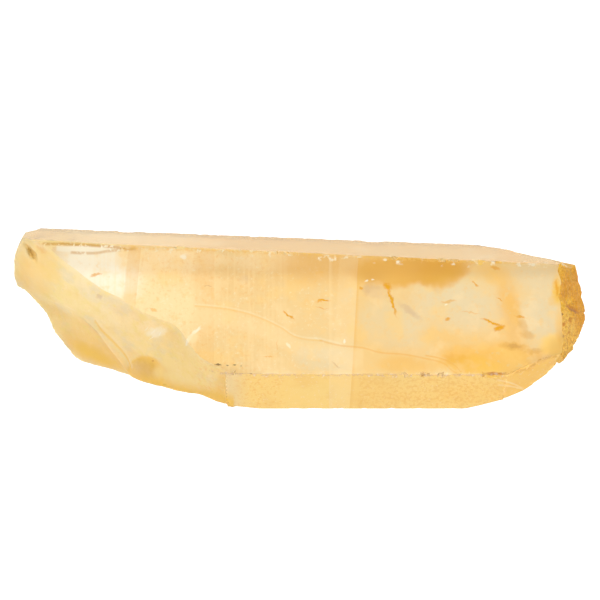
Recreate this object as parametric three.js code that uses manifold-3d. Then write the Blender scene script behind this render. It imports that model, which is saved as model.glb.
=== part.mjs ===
// A quartz crystal point that lies on one face of its six-sided prism.
// Millimetres, +Z up: the point is at -X, the broken base at +X, the widest clear face at -Y.
import * as THREE from 'three';
import { ConvexGeometry } from 'three/addons/geometries/ConvexGeometry.js';
import { ImprovedNoise } from 'three/addons/math/ImprovedNoise.js';
import { mergeVertices } from 'three/addons/utils/BufferGeometryUtils.js';
import Module from 'manifold-3d';

// Widths of four prism faces, measured across the crystal; the other two follow from them.
const LOWER_FRONT_WIDTH = 6.65;
const UPPER_FRONT_WIDTH = 17.75;
const TOP_WIDTH = 10;
const BOTTOM_WIDTH = 13;

// Which way each prism face looks, in degrees from +Y up towards +Z.
const UPPER_BACK = 30;
const TOP = 90;
const UPPER_FRONT = 150;
const LOWER_FRONT = 210;
const BOTTOM = 270;
const LOWER_BACK = 330;

// The prism narrows a little towards the base: how far two of its faces lean that way, in degrees.
const TOP_TAPER = 2.45;
const FRONT_TAPER = 0.4;

// A narrow face that takes off the top front edge near the point: where it starts and how it looks.
const EDGE_FACE_START = -24.3;
const EDGE_FACE = 122;
const EDGE_FACE_LEAN = -0.5;

// The front edge of the bottom face, and half the length of the prism before its ends break off.
const FOOT_Y = -8.55;
const UNCUT_REACH = 48;

// Facet sizes of the rough surfaces.
const FINE_STEP = 0.85;
const COARSE_STEP = 1.3;

// Rough surfaces roll in large lumps with small ones on them: how many times finer the small ones
// are, their share of the height, and the slice of the noise that each kind is read from.
const SMALL_LUMP_FINENESS = 2.3;
const SMALL_LUMP_SHARE = 0.45;
const LARGE_LUMP_SLICE = 7.3;
const SMALL_LUMP_SLICE = 3.1;

// Where the break that takes off the lower front corner of the base starts, along the crystal.
const CORNER_BREAK_START = 29;

// How far the underside stays flat before its lumps reach full height.
const UNDERSIDE_BLEND = 6;

const wasm = await Module();
wasm.setup();
const noise = new ImprovedNoise();
const faces = prismFaces();
const { clamp, smoothstep } = THREE.MathUtils;

/** Unit direction across the crystal, turned by an angle from +Y up towards +Z. */
function across(degrees) {
  const angle = THREE.MathUtils.degToRad(degrees);
  return new THREE.Vector3(0, Math.cos(angle), Math.sin(angle));
}

/** Outward direction of a face that looks across the crystal but leans towards the base. */
function leaning(degrees, lean) {
  const angle = THREE.MathUtils.degToRad(lean);
  const side = across(degrees).multiplyScalar(Math.cos(angle));
  return side.add(new THREE.Vector3(Math.sin(angle), 0, 0));
}

/** The flat plane through a point, with its outward direction. */
function planeAt(normal, point) {
  return new THREE.Plane().setFromNormalAndCoplanarPoint(normal, point);
}

/** Where three planes meet, or null if they have no single common point. */
function meeting(a, b, c) {
  const rows = new THREE.Matrix3();
  rows.set(...a.normal.toArray(), ...b.normal.toArray(), ...c.normal.toArray());
  if (Math.abs(rows.determinant()) < 1e-6) {
    return null;
  }
  return new THREE.Vector3(-a.constant, -b.constant, -c.constant).applyMatrix3(rows.invert());
}

/** The convex solid that lies behind all the given planes. */
function solidBehind(planes) {
  const corners = [];
  for (let i = 0; i < planes.length; i += 1) {
    for (let j = i + 1; j < planes.length; j += 1) {
      for (let k = j + 1; k < planes.length; k += 1) {
        const corner = meeting(planes[i], planes[j], planes[k]);
        if (corner && planes.every((plane) => plane.distanceToPoint(corner) < 1e-5)) {
          corners.push(corner);
        }
      }
    }
  }
  return new ConvexGeometry(corners);
}

/** A geometry as a closed solid that can be joined and cut. */
function solidOf(geometry) {
  const bare = geometry.clone();
  bare.deleteAttribute('normal');
  bare.deleteAttribute('uv');
  const merged = mergeVertices(bare, 1e-4);
  return new wasm.Manifold(new wasm.Mesh({
    numProp: 3,
    vertProperties: new Float32Array(merged.attributes.position.array),
    triVerts: new Uint32Array(merged.index.array),
  }));
}

/** A solid turned back into a geometry for drawing. */
function geometryOf(solid) {
  const mesh = solid.getMesh();
  const geometry = new THREE.BufferGeometry();
  geometry.setAttribute('position', new THREE.BufferAttribute(mesh.vertProperties, 3));
  geometry.setIndex(new THREE.BufferAttribute(mesh.triVerts, 1));
  geometry.computeVertexNormals();
  return geometry;
}

/** The prism's six faces as planes, by name. */
function prismFaces() {
  const foot = new THREE.Vector3(0, FOOT_Y, 0);
  const widest = foot.clone().addScaledVector(across(LOWER_FRONT - 90), LOWER_FRONT_WIDTH);
  const topFront = widest.clone().addScaledVector(across(UPPER_FRONT - 90), UPPER_FRONT_WIDTH);
  const topBack = topFront.clone().addScaledVector(across(TOP - 90), TOP_WIDTH);
  const backFoot = foot.clone().addScaledVector(across(0), BOTTOM_WIDTH);
  return {
    lowerFront: planeAt(across(LOWER_FRONT), foot),
    upperFront: planeAt(leaning(UPPER_FRONT, FRONT_TAPER), widest),
    top: planeAt(leaning(TOP, TOP_TAPER), topFront),
    upperBack: planeAt(leaning(UPPER_BACK, FRONT_TAPER), topBack),
    lowerBack: planeAt(across(LOWER_BACK), backFoot),
    bottom: planeAt(across(BOTTOM), foot),
  };
}

/** The plane square to the crystal at a distance along it. */
function stationAt(x) {
  return planeAt(new THREE.Vector3(1, 0, 0), new THREE.Vector3(x, 0, 0));
}

/** The six-sided prism, uncut at both ends, with the narrow face that takes off its top front edge. */
function prism() {
  const start = meeting(faces.top, faces.upperFront, stationAt(EDGE_FACE_START));
  const edgeFace = planeAt(leaning(EDGE_FACE, EDGE_FACE_LEAN), start);
  const tipEnd = new THREE.Vector3(-UNCUT_REACH, 0, 0);
  return solidBehind([
    ...Object.values(faces), edgeFace, stationAt(UNCUT_REACH), planeAt(new THREE.Vector3(-1, 0, 0), tipEnd),
  ]);
}

/** Rolling unevenness: smooth lumps of one size with smaller ones on them. */
function rolling(u, v, size, height) {
  const fine = size / SMALL_LUMP_FINENESS;
  const large = noise.noise(u / size, v / size, LARGE_LUMP_SLICE);
  const small = noise.noise(u / fine, v / fine, SMALL_LUMP_SLICE);
  return height * (large + SMALL_LUMP_SHARE * small);
}

/** One rounded swelling, or a hollow where its rise is negative. */
function swelling(u, v, lump) {
  const spread = ((u - lump.u) / lump.wide) ** 2 + ((v - lump.v) / lump.tall) ** 2;
  return lump.rise * Math.exp(-spread);
}

/** One rounded dome, which meets the surface in a clear rim. */
function dome(u, v, cap) {
  const spread = ((u - cap.u) / cap.wide) ** 2 + ((v - cap.v) / cap.tall) ** 2;
  return cap.rise * Math.max(0, 1 - spread);
}

/** A step down across a surface, on the far side of a line through one of its points. */
function ledge(u, v, { along, up, facing, drop, width }) {
  const beyond = Math.cos(facing) * (u - along) + Math.sin(facing) * (v - up);
  return -drop * smoothstep(beyond, 0, width);
}

/** A gentle crown across a surface, going on straight beyond its reach. */
function crown(t, bend, reach) {
  const inside = clamp(t, -reach, reach);
  return -bend * inside * (2 * t - inside);
}

/**
 * What breaks away in front of a surface: a block whose inner side is the surface with its relief.
 * On it u runs along the crystal, or across it where the surface is an end, v is square to u, and
 * relief(u, v) is how far it stands outwards.
 */
function brokenAway({ normal, point, size, step }, relief) {
  const outward = new THREE.Vector3(...normal).normalize();
  const guide = Math.abs(outward.x) > 0.9 ? new THREE.Vector3(0, Math.sign(outward.x), 0)
    : new THREE.Vector3(1, 0, 0);
  const along = guide.addScaledVector(outward, -guide.dot(outward)).normalize();
  const up = outward.clone().cross(along);
  const cells = Math.round(size / step);
  const block = new THREE.BoxGeometry(size, size, size, cells, cells, 1);
  const place = block.attributes.position;
  for (let i = 0; i < place.count; i += 1) {
    const stands = place.getZ(i) < 0 ? relief(place.getX(i), place.getY(i)) : size;
    place.setZ(i, stands);
  }
  const frame = new THREE.Matrix4().makeBasis(along, up, outward);
  frame.setPosition(...point);
  return solidOf(block.applyMatrix4(frame));
}

/** The frosted face that slopes from the point down to the lower front edge. */
function frontTermination() {
  const lumps = [
    { u: 3.2, v: -0.6, wide: 3.0, tall: 5, rise: -1.15 },
    { u: 9.4, v: -3.5, wide: 3.2, tall: 5, rise: 0.45 },
    { u: -2.8, v: 1.0, wide: 2.6, tall: 4, rise: -0.35 },
    { u: -10, v: 2.5, wide: 5, tall: 4, rise: 0.55 },
    { u: -20.2, v: -8.4, wide: 3.2, tall: 4.4, rise: -1.15 },
    { u: 3.5, v: -12, wide: 3, tall: 3, rise: 0.35 },
    { u: -14, v: 4, wide: 3, tall: 4, rise: 0.3 },
  ];
  const blister = { u: -0.6, v: -10.9, wide: 3.4, tall: 3.1, rise: 0.85 };
  const fold = { along: -7.4, up: -9.4, facing: THREE.MathUtils.degToRad(-133), drop: 0.7, width: 0.9 };
  const foldFade = { from: 4, to: 8 };
  return brokenAway({
    normal: [-0.53, -0.727, -0.437], point: [-20.37, -7.81, 12.69], size: 62, step: FINE_STEP,
  }, (u, v) => rolling(u, v, 6, 0.35) + dome(u, v, blister)
    + ledge(u, v, fold) * smoothstep(-v, foldFade.from, foldFade.to)
    + lumps.reduce((sum, lump) => sum + swelling(u, v, lump), 0));
}

/** The face behind it, mirrored, which the point shares. */
function backTermination() {
  const lumps = [{ u: -5, v: -5.5, wide: 3, tall: 4, rise: -0.75 }];
  return brokenAway({
    normal: [-0.55, 0.72, -0.42], point: [-33.6, 6.5, 6], size: 62, step: COARSE_STEP,
  }, (u, v) => rolling(u + 31, v, 6, 0.4) + lumps.reduce((sum, lump) => sum + swelling(u, v, lump), 0));
}

/** The underside of the point, which rises gently off the surface it lies on. */
function underside() {
  return brokenAway({
    normal: [-0.13, 0, -0.991], point: [-5, 0, 0], size: 78, step: COARSE_STEP,
  }, (u, v) => rolling(u + 11, v - 17, 6, 0.3) * smoothstep(-u, 0, UNDERSIDE_BLEND));
}

/** The blunt end of the point, a little crowned. */
function bluntTip() {
  return brokenAway({
    normal: [-1, 0, 0.13], point: [-40.05, 2, 17.6], size: 40, step: FINE_STEP,
  }, (u, v) => rolling(u, v, 3, 0.2) + crown(v, 0.04, 5) + crown(u, 0.02, 6));
}

/** The worn corner behind the point. */
function tipShoulder() {
  return brokenAway({
    normal: [-0.7, 0.42, 0.58], point: [-37.6, 4.4, 22.4], size: 40, step: COARSE_STEP,
  }, (u, v) => rolling(u + 5, v, 4, 0.3));
}

/** The rough broken base. */
function brokenBase() {
  const shoulder = { u: 4, v: -5, wide: 6, tall: 5, rise: 0.5 };
  return brokenAway({
    normal: [1, -0.2, 0.15], point: [39.4, 2, 12], size: 50, step: FINE_STEP,
  }, (u, v) => rolling(u, v, 2.2, 0.35) + rolling(u, v, 9, 0.4) + crown(u, 0.005, 15)
    + crown(v, 0.006, 15) + swelling(u, v, shoulder));
}

/** The shell-shaped break under the base. */
function lowerBreak() {
  const rib = { u: 9.5, v: 0, wide: 3.4, tall: 9, rise: 1.3 };
  return brokenAway({
    normal: [0.545, -0.12, -0.84], point: [32.9, -6, 3.15], size: 60, step: COARSE_STEP,
  }, (u, v) => crown(u, 0.027, 6) + rolling(u, v, 6, 0.3) + swelling(u, v, rib));
}

/** The worn corner behind the top of the base. */
function upperBreak() {
  return brokenAway({
    normal: [0.21, 0.18, 0.96], point: [31.2, 1.9, 19.8], size: 50, step: COARSE_STEP,
  }, (u, v) => rolling(u, v, 5, 0.3));
}

/** The hollow shell-shaped break that takes off the lower front corner of the base. */
function cornerBreak() {
  const edge = meeting(faces.lowerFront, faces.upperFront, stationAt(CORNER_BREAK_START));
  const hollow = { u: 5, v: 0, wide: 4, tall: 5, rise: -0.25 };
  return brokenAway({
    normal: [0.34, -0.78, -0.52], point: edge.toArray(), size: 50, step: COARSE_STEP,
  }, (u, v) => swelling(u, v, hollow) + rolling(u, v, 4, 0.15));
}

/** A growth step: a shallow sheet off one prism face, between two distances along the crystal. */
function growthStep(face, from, to, depth) {
  const sheet = new THREE.BoxGeometry(to - from, 2 * UNCUT_REACH, 2 * depth);
  const middle = face.projectPoint(new THREE.Vector3((from + to) / 2, 0, 10), new THREE.Vector3());
  const along = new THREE.Vector3(1, 0, 0).addScaledVector(face.normal, -face.normal.x).normalize();
  const frame = new THREE.Matrix4().makeBasis(along, face.normal.clone().cross(along), face.normal);
  return solidOf(sheet.applyMatrix4(frame.setPosition(middle)));
}

/** The growth steps that cross the prism faces. */
function growthSteps() {
  return [
    growthStep(faces.upperFront, -23.9, -22.3, 0.12),
    growthStep(faces.upperFront, -13.8, -11.8, 0.2),
    growthStep(faces.upperFront, 8.4, UNCUT_REACH, 0.16),
    growthStep(faces.lowerFront, 8.2, UNCUT_REACH, 0.16),
    growthStep(faces.top, -2.5, UNCUT_REACH, 0.07),
    growthStep(faces.top, 5.2, UNCUT_REACH, 0.15),
    growthStep(faces.upperBack, -19, -9.5, 0.18),
    growthStep(faces.upperBack, 12, UNCUT_REACH, 0.2),
    growthStep(faces.lowerBack, -4, 17, 0.18),
  ];
}

/** A small chip out of the edge between two prism faces. */
function chip(faceA, faceB, { x, length, depth }) {
  const place = meeting(faceA, faceB, stationAt(x));
  const hollow = new THREE.IcosahedronGeometry(1, 0);
  hollow.rotateX(x);
  hollow.scale(length / 2, depth, depth);
  return solidOf(hollow.translate(...place.toArray()));
}

/** The chips along the two front edges and the top back edge. */
function chips() {
  const topFront = [
    { x: -16.2, length: 1.2, depth: 0.5 }, { x: -1.9, length: 2.6, depth: 0.35 },
    { x: 12.1, length: 0.9, depth: 0.45 }, { x: 13.8, length: 1, depth: 0.55 },
    { x: 20.4, length: 1.6, depth: 0.5 }, { x: 22.3, length: 1.8, depth: 0.4 },
    { x: 25.7, length: 2.2, depth: 0.5 }, { x: 28.3, length: 1.6, depth: 0.4 },
  ];
  const lowerFront = [
    { x: -11.2, length: 1.5, depth: 0.4 }, { x: -9.0, length: 1.2, depth: 0.35 },
    { x: 15.1, length: 1.4, depth: 0.4 }, { x: 17.6, length: 2.2, depth: 0.5 },
    { x: 20.1, length: 1.5, depth: 0.45 }, { x: 22.4, length: 1.3, depth: 0.4 },
    { x: 27.2, length: 3, depth: 0.6 },
  ];
  const topBack = [
    { x: -24, length: 3, depth: 0.8 }, { x: -6, length: 1.6, depth: 0.5 }, { x: 11, length: 4, depth: 0.9 },
  ];
  return [
    ...topFront.map((size) => chip(faces.top, faces.upperFront, size)),
    ...lowerFront.map((size) => chip(faces.lowerFront, faces.upperFront, size)),
    ...topBack.map((size) => chip(faces.top, faces.upperBack, size)),
  ];
}

/** The dark crevice just behind the blunt end. */
function crevice() {
  const notch = new THREE.OctahedronGeometry(1, 0);
  notch.scale(0.8, 1.6, 2.4);
  notch.rotateY(-0.5);
  return solidOf(notch.translate(-37.2, -0.2, 20.2));
}

/** The whole crystal as one closed solid. */
function crystal() {
  const breaks = [
    frontTermination(), backTermination(), underside(), bluntTip(), tipShoulder(),
    brokenBase(), lowerBreak(), cornerBreak(), upperBreak(), ...growthSteps(), ...chips(), crevice(),
  ];
  return breaks.reduce((solid, away) => solid.subtract(away), solidOf(prism()));
}

/** Moves a geometry so that its box is centred over the origin and stands on z = 0. */
function settled(geometry) {
  geometry.computeBoundingBox();
  const middle = geometry.boundingBox.getCenter(new THREE.Vector3());
  return geometry.translate(-middle.x, -middle.y, -geometry.boundingBox.min.z);
}

const quartz = new THREE.MeshStandardMaterial({ color: 0xe9c87c, roughness: 0.2, metalness: 0 });
const point = new THREE.Mesh(settled(geometryOf(crystal())), quartz);
point.name = 'crystal_point';
const group = new THREE.Group();
group.add(point);
export default group;
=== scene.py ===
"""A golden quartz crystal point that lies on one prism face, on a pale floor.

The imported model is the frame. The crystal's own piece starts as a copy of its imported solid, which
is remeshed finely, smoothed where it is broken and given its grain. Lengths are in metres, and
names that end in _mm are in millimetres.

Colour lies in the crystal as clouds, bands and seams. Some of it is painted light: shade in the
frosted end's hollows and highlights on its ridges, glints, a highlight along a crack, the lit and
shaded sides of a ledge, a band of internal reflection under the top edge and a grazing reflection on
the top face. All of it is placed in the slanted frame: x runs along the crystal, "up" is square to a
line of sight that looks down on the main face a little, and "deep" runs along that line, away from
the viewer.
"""

import logging
import math
from collections.abc import Iterable
from dataclasses import dataclass, field
from enum import Enum
from typing import Any

import bmesh
import bpy
import numpy as np
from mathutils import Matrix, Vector, noise


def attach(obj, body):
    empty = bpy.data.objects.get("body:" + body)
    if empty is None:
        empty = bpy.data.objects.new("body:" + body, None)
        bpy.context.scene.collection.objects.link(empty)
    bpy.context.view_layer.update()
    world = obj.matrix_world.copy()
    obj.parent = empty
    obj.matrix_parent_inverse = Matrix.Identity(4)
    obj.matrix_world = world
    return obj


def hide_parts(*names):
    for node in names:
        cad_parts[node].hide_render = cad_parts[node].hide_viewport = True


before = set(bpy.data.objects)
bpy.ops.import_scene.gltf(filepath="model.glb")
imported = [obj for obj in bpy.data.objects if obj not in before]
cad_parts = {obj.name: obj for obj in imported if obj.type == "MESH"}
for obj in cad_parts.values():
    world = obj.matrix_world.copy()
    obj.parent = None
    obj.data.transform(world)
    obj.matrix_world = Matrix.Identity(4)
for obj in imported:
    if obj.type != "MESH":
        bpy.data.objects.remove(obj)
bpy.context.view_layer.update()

MM = 0.001
BODY = "root"
NODE = "crystal_point"
SLANT_DEG = 12.5
WELD_MM = 0.002
HALF_WAY = 0.5
NEXT_TO_NOTHING = 1e-8
CLOUD_NEXT_TO_NOTHING = 1e-7
MIX_BELOW, MIX_ABOVE, MIX_RESULT = 6, 7, 2
log = logging.getLogger("crystal")


def put_in_scene(name: str, data: bpy.types.ID) -> bpy.types.Object:
    """Makes an object of a mesh, a lamp or a camera and links it to the scene.

    Args:
        name: the object's name.
        data: what the object is made of. A mesh is already in place.

    Returns:
        The new object, at the origin.
    """
    piece = bpy.data.objects.new(name, data)
    bpy.context.scene.collection.objects.link(piece)
    return piece


def smooth(
    work: bmesh.types.BMesh, vertices: Iterable[bmesh.types.BMVert], factor: float = HALF_WAY
) -> None:
    """Draws vertices towards the middle of their neighbours.

    Args:
        work: the mesh that they are in.
        vertices: the vertices to draw.
        factor: how far they go, negative away from it.
    """
    bmesh.ops.smooth_vert(
        work, verts=vertices, factor=factor, use_axis_x=True, use_axis_y=True, use_axis_z=True
    )


class Tone(Enum):
    """The colours in the crystal, as eight-bit screen values."""

    # the palest tone: clear spots and white scratches, and also painted glints and highlights
    WINDOW = (255, 250, 230)
    CREAM = (255, 230, 178)
    HONEY = (238, 209, 148)
    STRAW = (252, 212, 122)
    GOLD = (242, 194, 92)
    AMBER = (232, 174, 68)
    DEEP_AMBER = (222, 160, 40)
    MILK = (229, 214, 174)
    BLUSH = (246, 201, 122)
    FROST = (250, 222, 140)
    LEMON = (244, 218, 110)
    PEACH = (255, 217, 112)
    ORANGE = (238, 160, 20)
    SAFFRON = (242, 190, 36)
    OCHRE = (206, 150, 30)
    ASH = (198, 168, 140)
    UMBER = (170, 118, 62)
    RUST = (226, 154, 0)
    BRICK = (190, 110, 10)
    SOOT = (60, 40, 22)

    def linear(self) -> tuple[float, float, float, float]:
        """Gives the tone as a linear colour for a shader socket, by the usual screen curve."""
        parts = [
            part / 12.92 if part <= 0.04045 else ((part + 0.055) / 1.055) ** 2.4
            for part in (value / 255 for value in self.value)
        ]
        return (parts[0], parts[1], parts[2], 1.0)


class Zone(Enum):
    """The kinds of surface on the crystal, each with its roughness."""

    MAIN = 0.31
    TOP = 0.26
    LOWER = 0.22
    BOTTOM = 0.36
    LOWER_BACK = 0.17
    UPPER_BACK = 0.66
    TIP = 0.47
    BASE = 0.9
    CORNER = 0.3
    CHIP = 0.13


class Part(Enum):
    """The parts of the surface that the finish knows, by the names of their mesh layers."""

    TIP = "tip_break"
    BASE = "base_break"
    TOP = "top_face"
    MAIN = "main_face"
    CORNER = "corner_break"
    LOWER = "lower_face"


PART_ZONES = {part: Zone[part.name] for part in Part}


def zones_around(vertex: bmesh.types.BMVert, zones: list[Zone]) -> set[Zone]:
    """Finds the kinds of surface that meet at a vertex.

    Args:
        vertex: the vertex.
        zones: one zone a face.

    Returns:
        The zones of the faces around it.
    """
    return {zones[face.index] for face in vertex.link_faces}


@dataclass(frozen=True)
class PrismFace:
    """One flat growth face: which way it looks and one point on it."""

    zone: Zone
    turn_deg: float
    lean_deg: float
    point_mm: tuple[float, float, float]

    def normal(self) -> np.ndarray:
        """Gives the outward unit direction."""
        turn, lean = math.radians(self.turn_deg), math.radians(self.lean_deg)
        return np.array([
            math.sin(lean), math.cos(turn) * math.cos(lean), math.sin(turn) * math.cos(lean),
        ])

    def height_mm(self, points_mm: np.ndarray) -> np.ndarray:
        """Gives how far points stand outside the face.

        Args:
            points_mm: one point a row.

        Returns:
            One height a point, negative inside.
        """
        return (points_mm - np.array(self.point_mm)) @ self.normal()


PRISM = (
    PrismFace(Zone.TOP, 90, 2.45, (0, -3, 21.13)),
    PrismFace(Zone.MAIN, 150, 0.4, (0, -11.9, 5.76)),
    PrismFace(Zone.LOWER, 210, 0, (0, -8.57, 0)),
    PrismFace(Zone.BOTTOM, 270, 0, (0, 0, 0)),
    PrismFace(Zone.LOWER_BACK, 330, 0, (0, 4.43, 0)),
    PrismFace(Zone.UPPER_BACK, 30, 0.4, (0, 7, 21.13)),
)


@dataclass(frozen=True)
class Pull:
    """A soft pull on the broken surface, placed in the slanted frame: along and up."""

    at_mm: tuple[float, float]
    move_mm: tuple[float, float]
    reach_mm: float


@dataclass(frozen=True)
class Grit:
    """How a broken surface is roughened: fractal noise and how high it stands."""

    fineness: float
    evenness: float
    spread: float
    octaves: int
    height_mm: float

    def push_mm(self, place_mm: Vector) -> float:
        """Gives how far a place is pushed outwards.

        Args:
            place_mm: the place.

        Returns:
            The push, negative inwards.
        """
        field = noise.fractal(place_mm * self.fineness, self.evenness, self.spread, self.octaves)
        return field * self.height_mm


@dataclass
class CrystalBody:
    """The crystal itself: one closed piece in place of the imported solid."""

    remesh_depth: int = 8
    remesh_scale: float = 0.965
    step_depth_mm: float = 0.3
    pulls: tuple[Pull, ...] = (
        Pull((-37.2, 13.6), (-0.8, 0), 1.7),
        Pull((36.8, 5), (-0.3, 0.5), 1.8),
        Pull((38.9, 18.2), (-0.4, -0.3), 1.3),
    )
    longest_shift_mm: float = 0.45
    sliver_mm: float = 0.07
    tip_end_mm: float = -9.0
    corner_start_mm: float = 25.0
    base_facing: float = 0.62
    underside_facing: float = -0.5
    under_base_facing: float = -0.7
    flat_match: float = 0.995
    smoothing_rounds: int = 14
    smoothing_pair: tuple[float, float] = (0.5, -0.47)
    tip_lump_fineness: float = 0.28
    tip_lump_mm: float = 0.14
    tip_grit: Grit = Grit(0.8, 0.9, 2.0, 3, 0.04)
    corner_grit: Grit = Grit(0.7, 0.9, 2.0, 2, 0.03)
    base_grit: Grit = Grit(0.9, 0.7, 2.1, 3, 0.24)
    edge_wear_mm: float = 0.16
    edge_waves: tuple[tuple[float, float], ...] = ((0.35, 0.6), (1.3, 0.7))
    sharp_angle_deg: float = 28
    hollow_rounds: int = 30
    step_walls_mm: tuple[float, ...] = (
        -24.29, -22.69, -19.39, -14.19, -12.19, -9.89, -4.39, -2.89, 4.81, 7.81, 8.01, 11.61, 16.61,
    )
    wall_reach_mm: float = 0.6
    even_rounds: int = 6
    floor_mm: float = -0.08
    steps_mm: tuple[tuple[float, float], ...] = (
        (-26.2, 0.02), (-24.9, -0.03), (-22.8, 0.05), (-14.3, -0.02), (-12.1, 0.05), (-9.3, -0.02),
        (-6.9, 0.02), (0.9, -0.02), (4.3, 0.02), (8.1, 0.06), (19.4, -0.03), (29.6, 0.02),
    )

    def solid_copy(self) -> bpy.types.Mesh:
        """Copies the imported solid's mesh and joins its loose triangles."""
        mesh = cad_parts[NODE].data.copy()
        mesh.materials.clear()
        work = bmesh.new()
        work.from_mesh(mesh)
        bmesh.ops.remove_doubles(work, verts=work.verts, dist=WELD_MM * MM)
        work.to_mesh(mesh)
        work.free()
        return mesh

    def fine_mesh(self) -> bpy.types.Mesh:
        """Remeshes the copy in small even faces that keep its sharp edges."""
        rough = put_in_scene("rough_crystal", self.solid_copy())
        remesh = rough.modifiers.new("even_faces", "REMESH")
        remesh.mode = "SHARP"
        remesh.octree_depth = self.remesh_depth
        remesh.scale = self.remesh_scale
        graph = bpy.context.evaluated_depsgraph_get()
        mesh = bpy.data.meshes.new_from_object(rough.evaluated_get(graph))
        bpy.data.objects.remove(rough)
        mesh.name = NODE
        return mesh

    def zones_of(self, centres_mm: np.ndarray, normals: np.ndarray) -> list[Zone]:
        """Names the kind of surface at each face.

        Args:
            centres_mm: the middle of each face, one a row.
            normals: each face's direction, one a row.

        Returns:
            One zone a face.
        """
        along = centres_mm[:, 0]
        zones = np.full(len(along), Zone.CHIP, dtype=object)
        zones[(along < self.tip_end_mm) | (normals[:, 2] < self.underside_facing)] = Zone.TIP
        right = along > self.corner_start_mm
        zones[right] = Zone.CORNER
        zones[right & (normals[:, 2] < self.under_base_facing)] = Zone.CHIP
        zones[right & (normals[:, 0] > self.base_facing)] = Zone.BASE
        heights = np.array([face.height_mm(centres_mm) for face in PRISM])
        near = heights > -self.step_depth_mm
        nearest = heights.argmax(axis=0)
        at_step = np.min(np.abs(along[:, None] - np.array(self.step_walls_mm)), axis=1)
        at_step = at_step < self.wall_reach_mm
        for number, face in enumerate(PRISM):
            flat = normals @ face.normal() > self.flat_match
            zones[near[number] & (flat | ((nearest == number) & at_step))] = face.zone
        return list(zones)

    def build(self) -> bpy.types.Object:
        """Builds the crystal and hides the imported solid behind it."""
        work = bmesh.new()
        work.from_mesh(self.fine_mesh())
        self.open_pinches(work)
        work.normal_update()
        work.faces.ensure_lookup_table()
        centres = np.array([face.calc_center_median() for face in work.faces]) / MM
        normals = np.array([face.normal for face in work.faces])
        zones = self.zones_of(centres, normals)
        broken = self.broken_vertices(work, zones)
        for _ in range(self.smoothing_rounds):
            for factor in self.smoothing_pair:
                smooth(work, list(broken), factor)
        self.roughen(work, broken)
        self.pull(broken)
        self.level_faces(work, zones)
        zones = self.merge_slivers(work, zones)
        self.even_out(work, zones)
        self.level_faces(work, zones)
        self.wear_edges(work, zones)
        log.info("open or folded edges: %d", sum(not edge.is_manifold for edge in work.edges))
        mesh = bpy.data.meshes.new(NODE)
        work.to_mesh(mesh)
        hollows = self.hollows_of(work)
        work.free()
        self.mark_zones(mesh, zones, hollows)
        mesh.shade_smooth()
        mesh.set_sharp_from_angle(angle=math.radians(self.sharp_angle_deg))
        mesh.materials.append(QuartzFinish().build())
        piece = put_in_scene("crystal_skin", mesh)
        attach(piece, BODY)
        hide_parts(NODE)
        log.info("%s: %d faces", piece.name, len(mesh.polygons))
        return piece

    def open_pinches(self, work: bmesh.types.BMesh) -> None:
        """Cuts out the few places where the fine mesh touches itself, and closes the holes.

        Args:
            work: the crystal.
        """
        pinched = [edge for edge in work.edges if len(edge.link_faces) > 2]
        around = {face for edge in pinched for vertex in edge.verts for face in vertex.link_faces}
        bmesh.ops.delete(work, geom=sorted(around, key=lambda face: face.index), context="FACES")
        rims = [edge for edge in work.edges if len(edge.link_faces) == 1]
        filled = bmesh.ops.holes_fill(work, edges=rims, sides=0)["faces"]
        bmesh.ops.triangulate(work, faces=filled)
        work.faces.ensure_lookup_table()

    def broken_vertices(
        self, work: bmesh.types.BMesh, zones: list[Zone]
    ) -> dict[bmesh.types.BMVert, Zone]:
        """Finds the vertices that lie wholly on broken surface.

        Args:
            work: the crystal.
            zones: one zone a face.

        Returns:
            Each such vertex with its zone.
        """
        broken = {}
        for vertex in work.verts:
            around = zones_around(vertex, zones)
            if around and around <= {Zone.TIP, Zone.BASE, Zone.CORNER}:
                broken[vertex] = min(around, key=lambda zone: zone.value)
        return broken

    def roughen(self, work: bmesh.types.BMesh, broken: dict[bmesh.types.BMVert, Zone]) -> None:
        """Gives the broken ends their lumps and grain.

        Args:
            work: the crystal.
            broken: the vertices to move, each with its zone.
        """
        work.normal_update()
        moves = {}
        for vertex, zone in broken.items():
            place = vertex.co / MM
            if zone is Zone.BASE:
                push = self.base_grit.push_mm(place)
            elif zone is Zone.CORNER:
                push = self.corner_grit.push_mm(place)
            else:
                push = noise.noise(place * self.tip_lump_fineness) * self.tip_lump_mm
                push += self.tip_grit.push_mm(place)
            moves[vertex] = vertex.normal * push * MM
        for vertex, move in moves.items():
            vertex.co += move

    def pull(self, broken: dict[bmesh.types.BMVert, Zone]) -> None:
        """Draws the broken surface out or in at a few places, softly.

        Args:
            broken: the vertices to move, each with its zone.
        """
        slant = math.radians(SLANT_DEG)
        rise = Vector((0, math.sin(slant), math.cos(slant)))
        for vertex in broken:
            place = vertex.co / MM
            up = place.dot(rise)
            for pull in self.pulls:
                away = math.hypot(place.x - pull.at_mm[0], up - pull.at_mm[1])
                share = math.exp(-((away / pull.reach_mm) ** 2)) * MM
                vertex.co.x += pull.move_mm[0] * share
                vertex.co += rise * pull.move_mm[1] * share

    def level_faces(self, work: bmesh.types.BMesh, zones: list[Zone]) -> None:
        """Sets each growth face flat again, but for its low straight growth steps.

        Args:
            work: the crystal.
            zones: one zone a face.
        """
        starts = np.array([start for start, _ in self.steps_mm])
        floors = np.cumsum([depth for _, depth in self.steps_mm]) + self.floor_mm
        for vertex in work.verts:
            around = zones_around(vertex, zones)
            planes = [face for face in PRISM if face.zone in around]
            if not planes or len(planes) > 2:
                continue
            place = np.array(vertex.co) / MM
            step = float(np.interp(place[0], starts, floors))
            wanted = [
                (step if face.zone is Zone.MAIN else 0.0) - face.height_mm(place) for face in planes
            ]
            normals = np.array([face.normal() for face in planes])
            shift = np.linalg.lstsq(normals, wanted, rcond=None)[0]
            if np.linalg.norm(shift) < self.longest_shift_mm:
                vertex.co += Vector(shift) * MM

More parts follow.
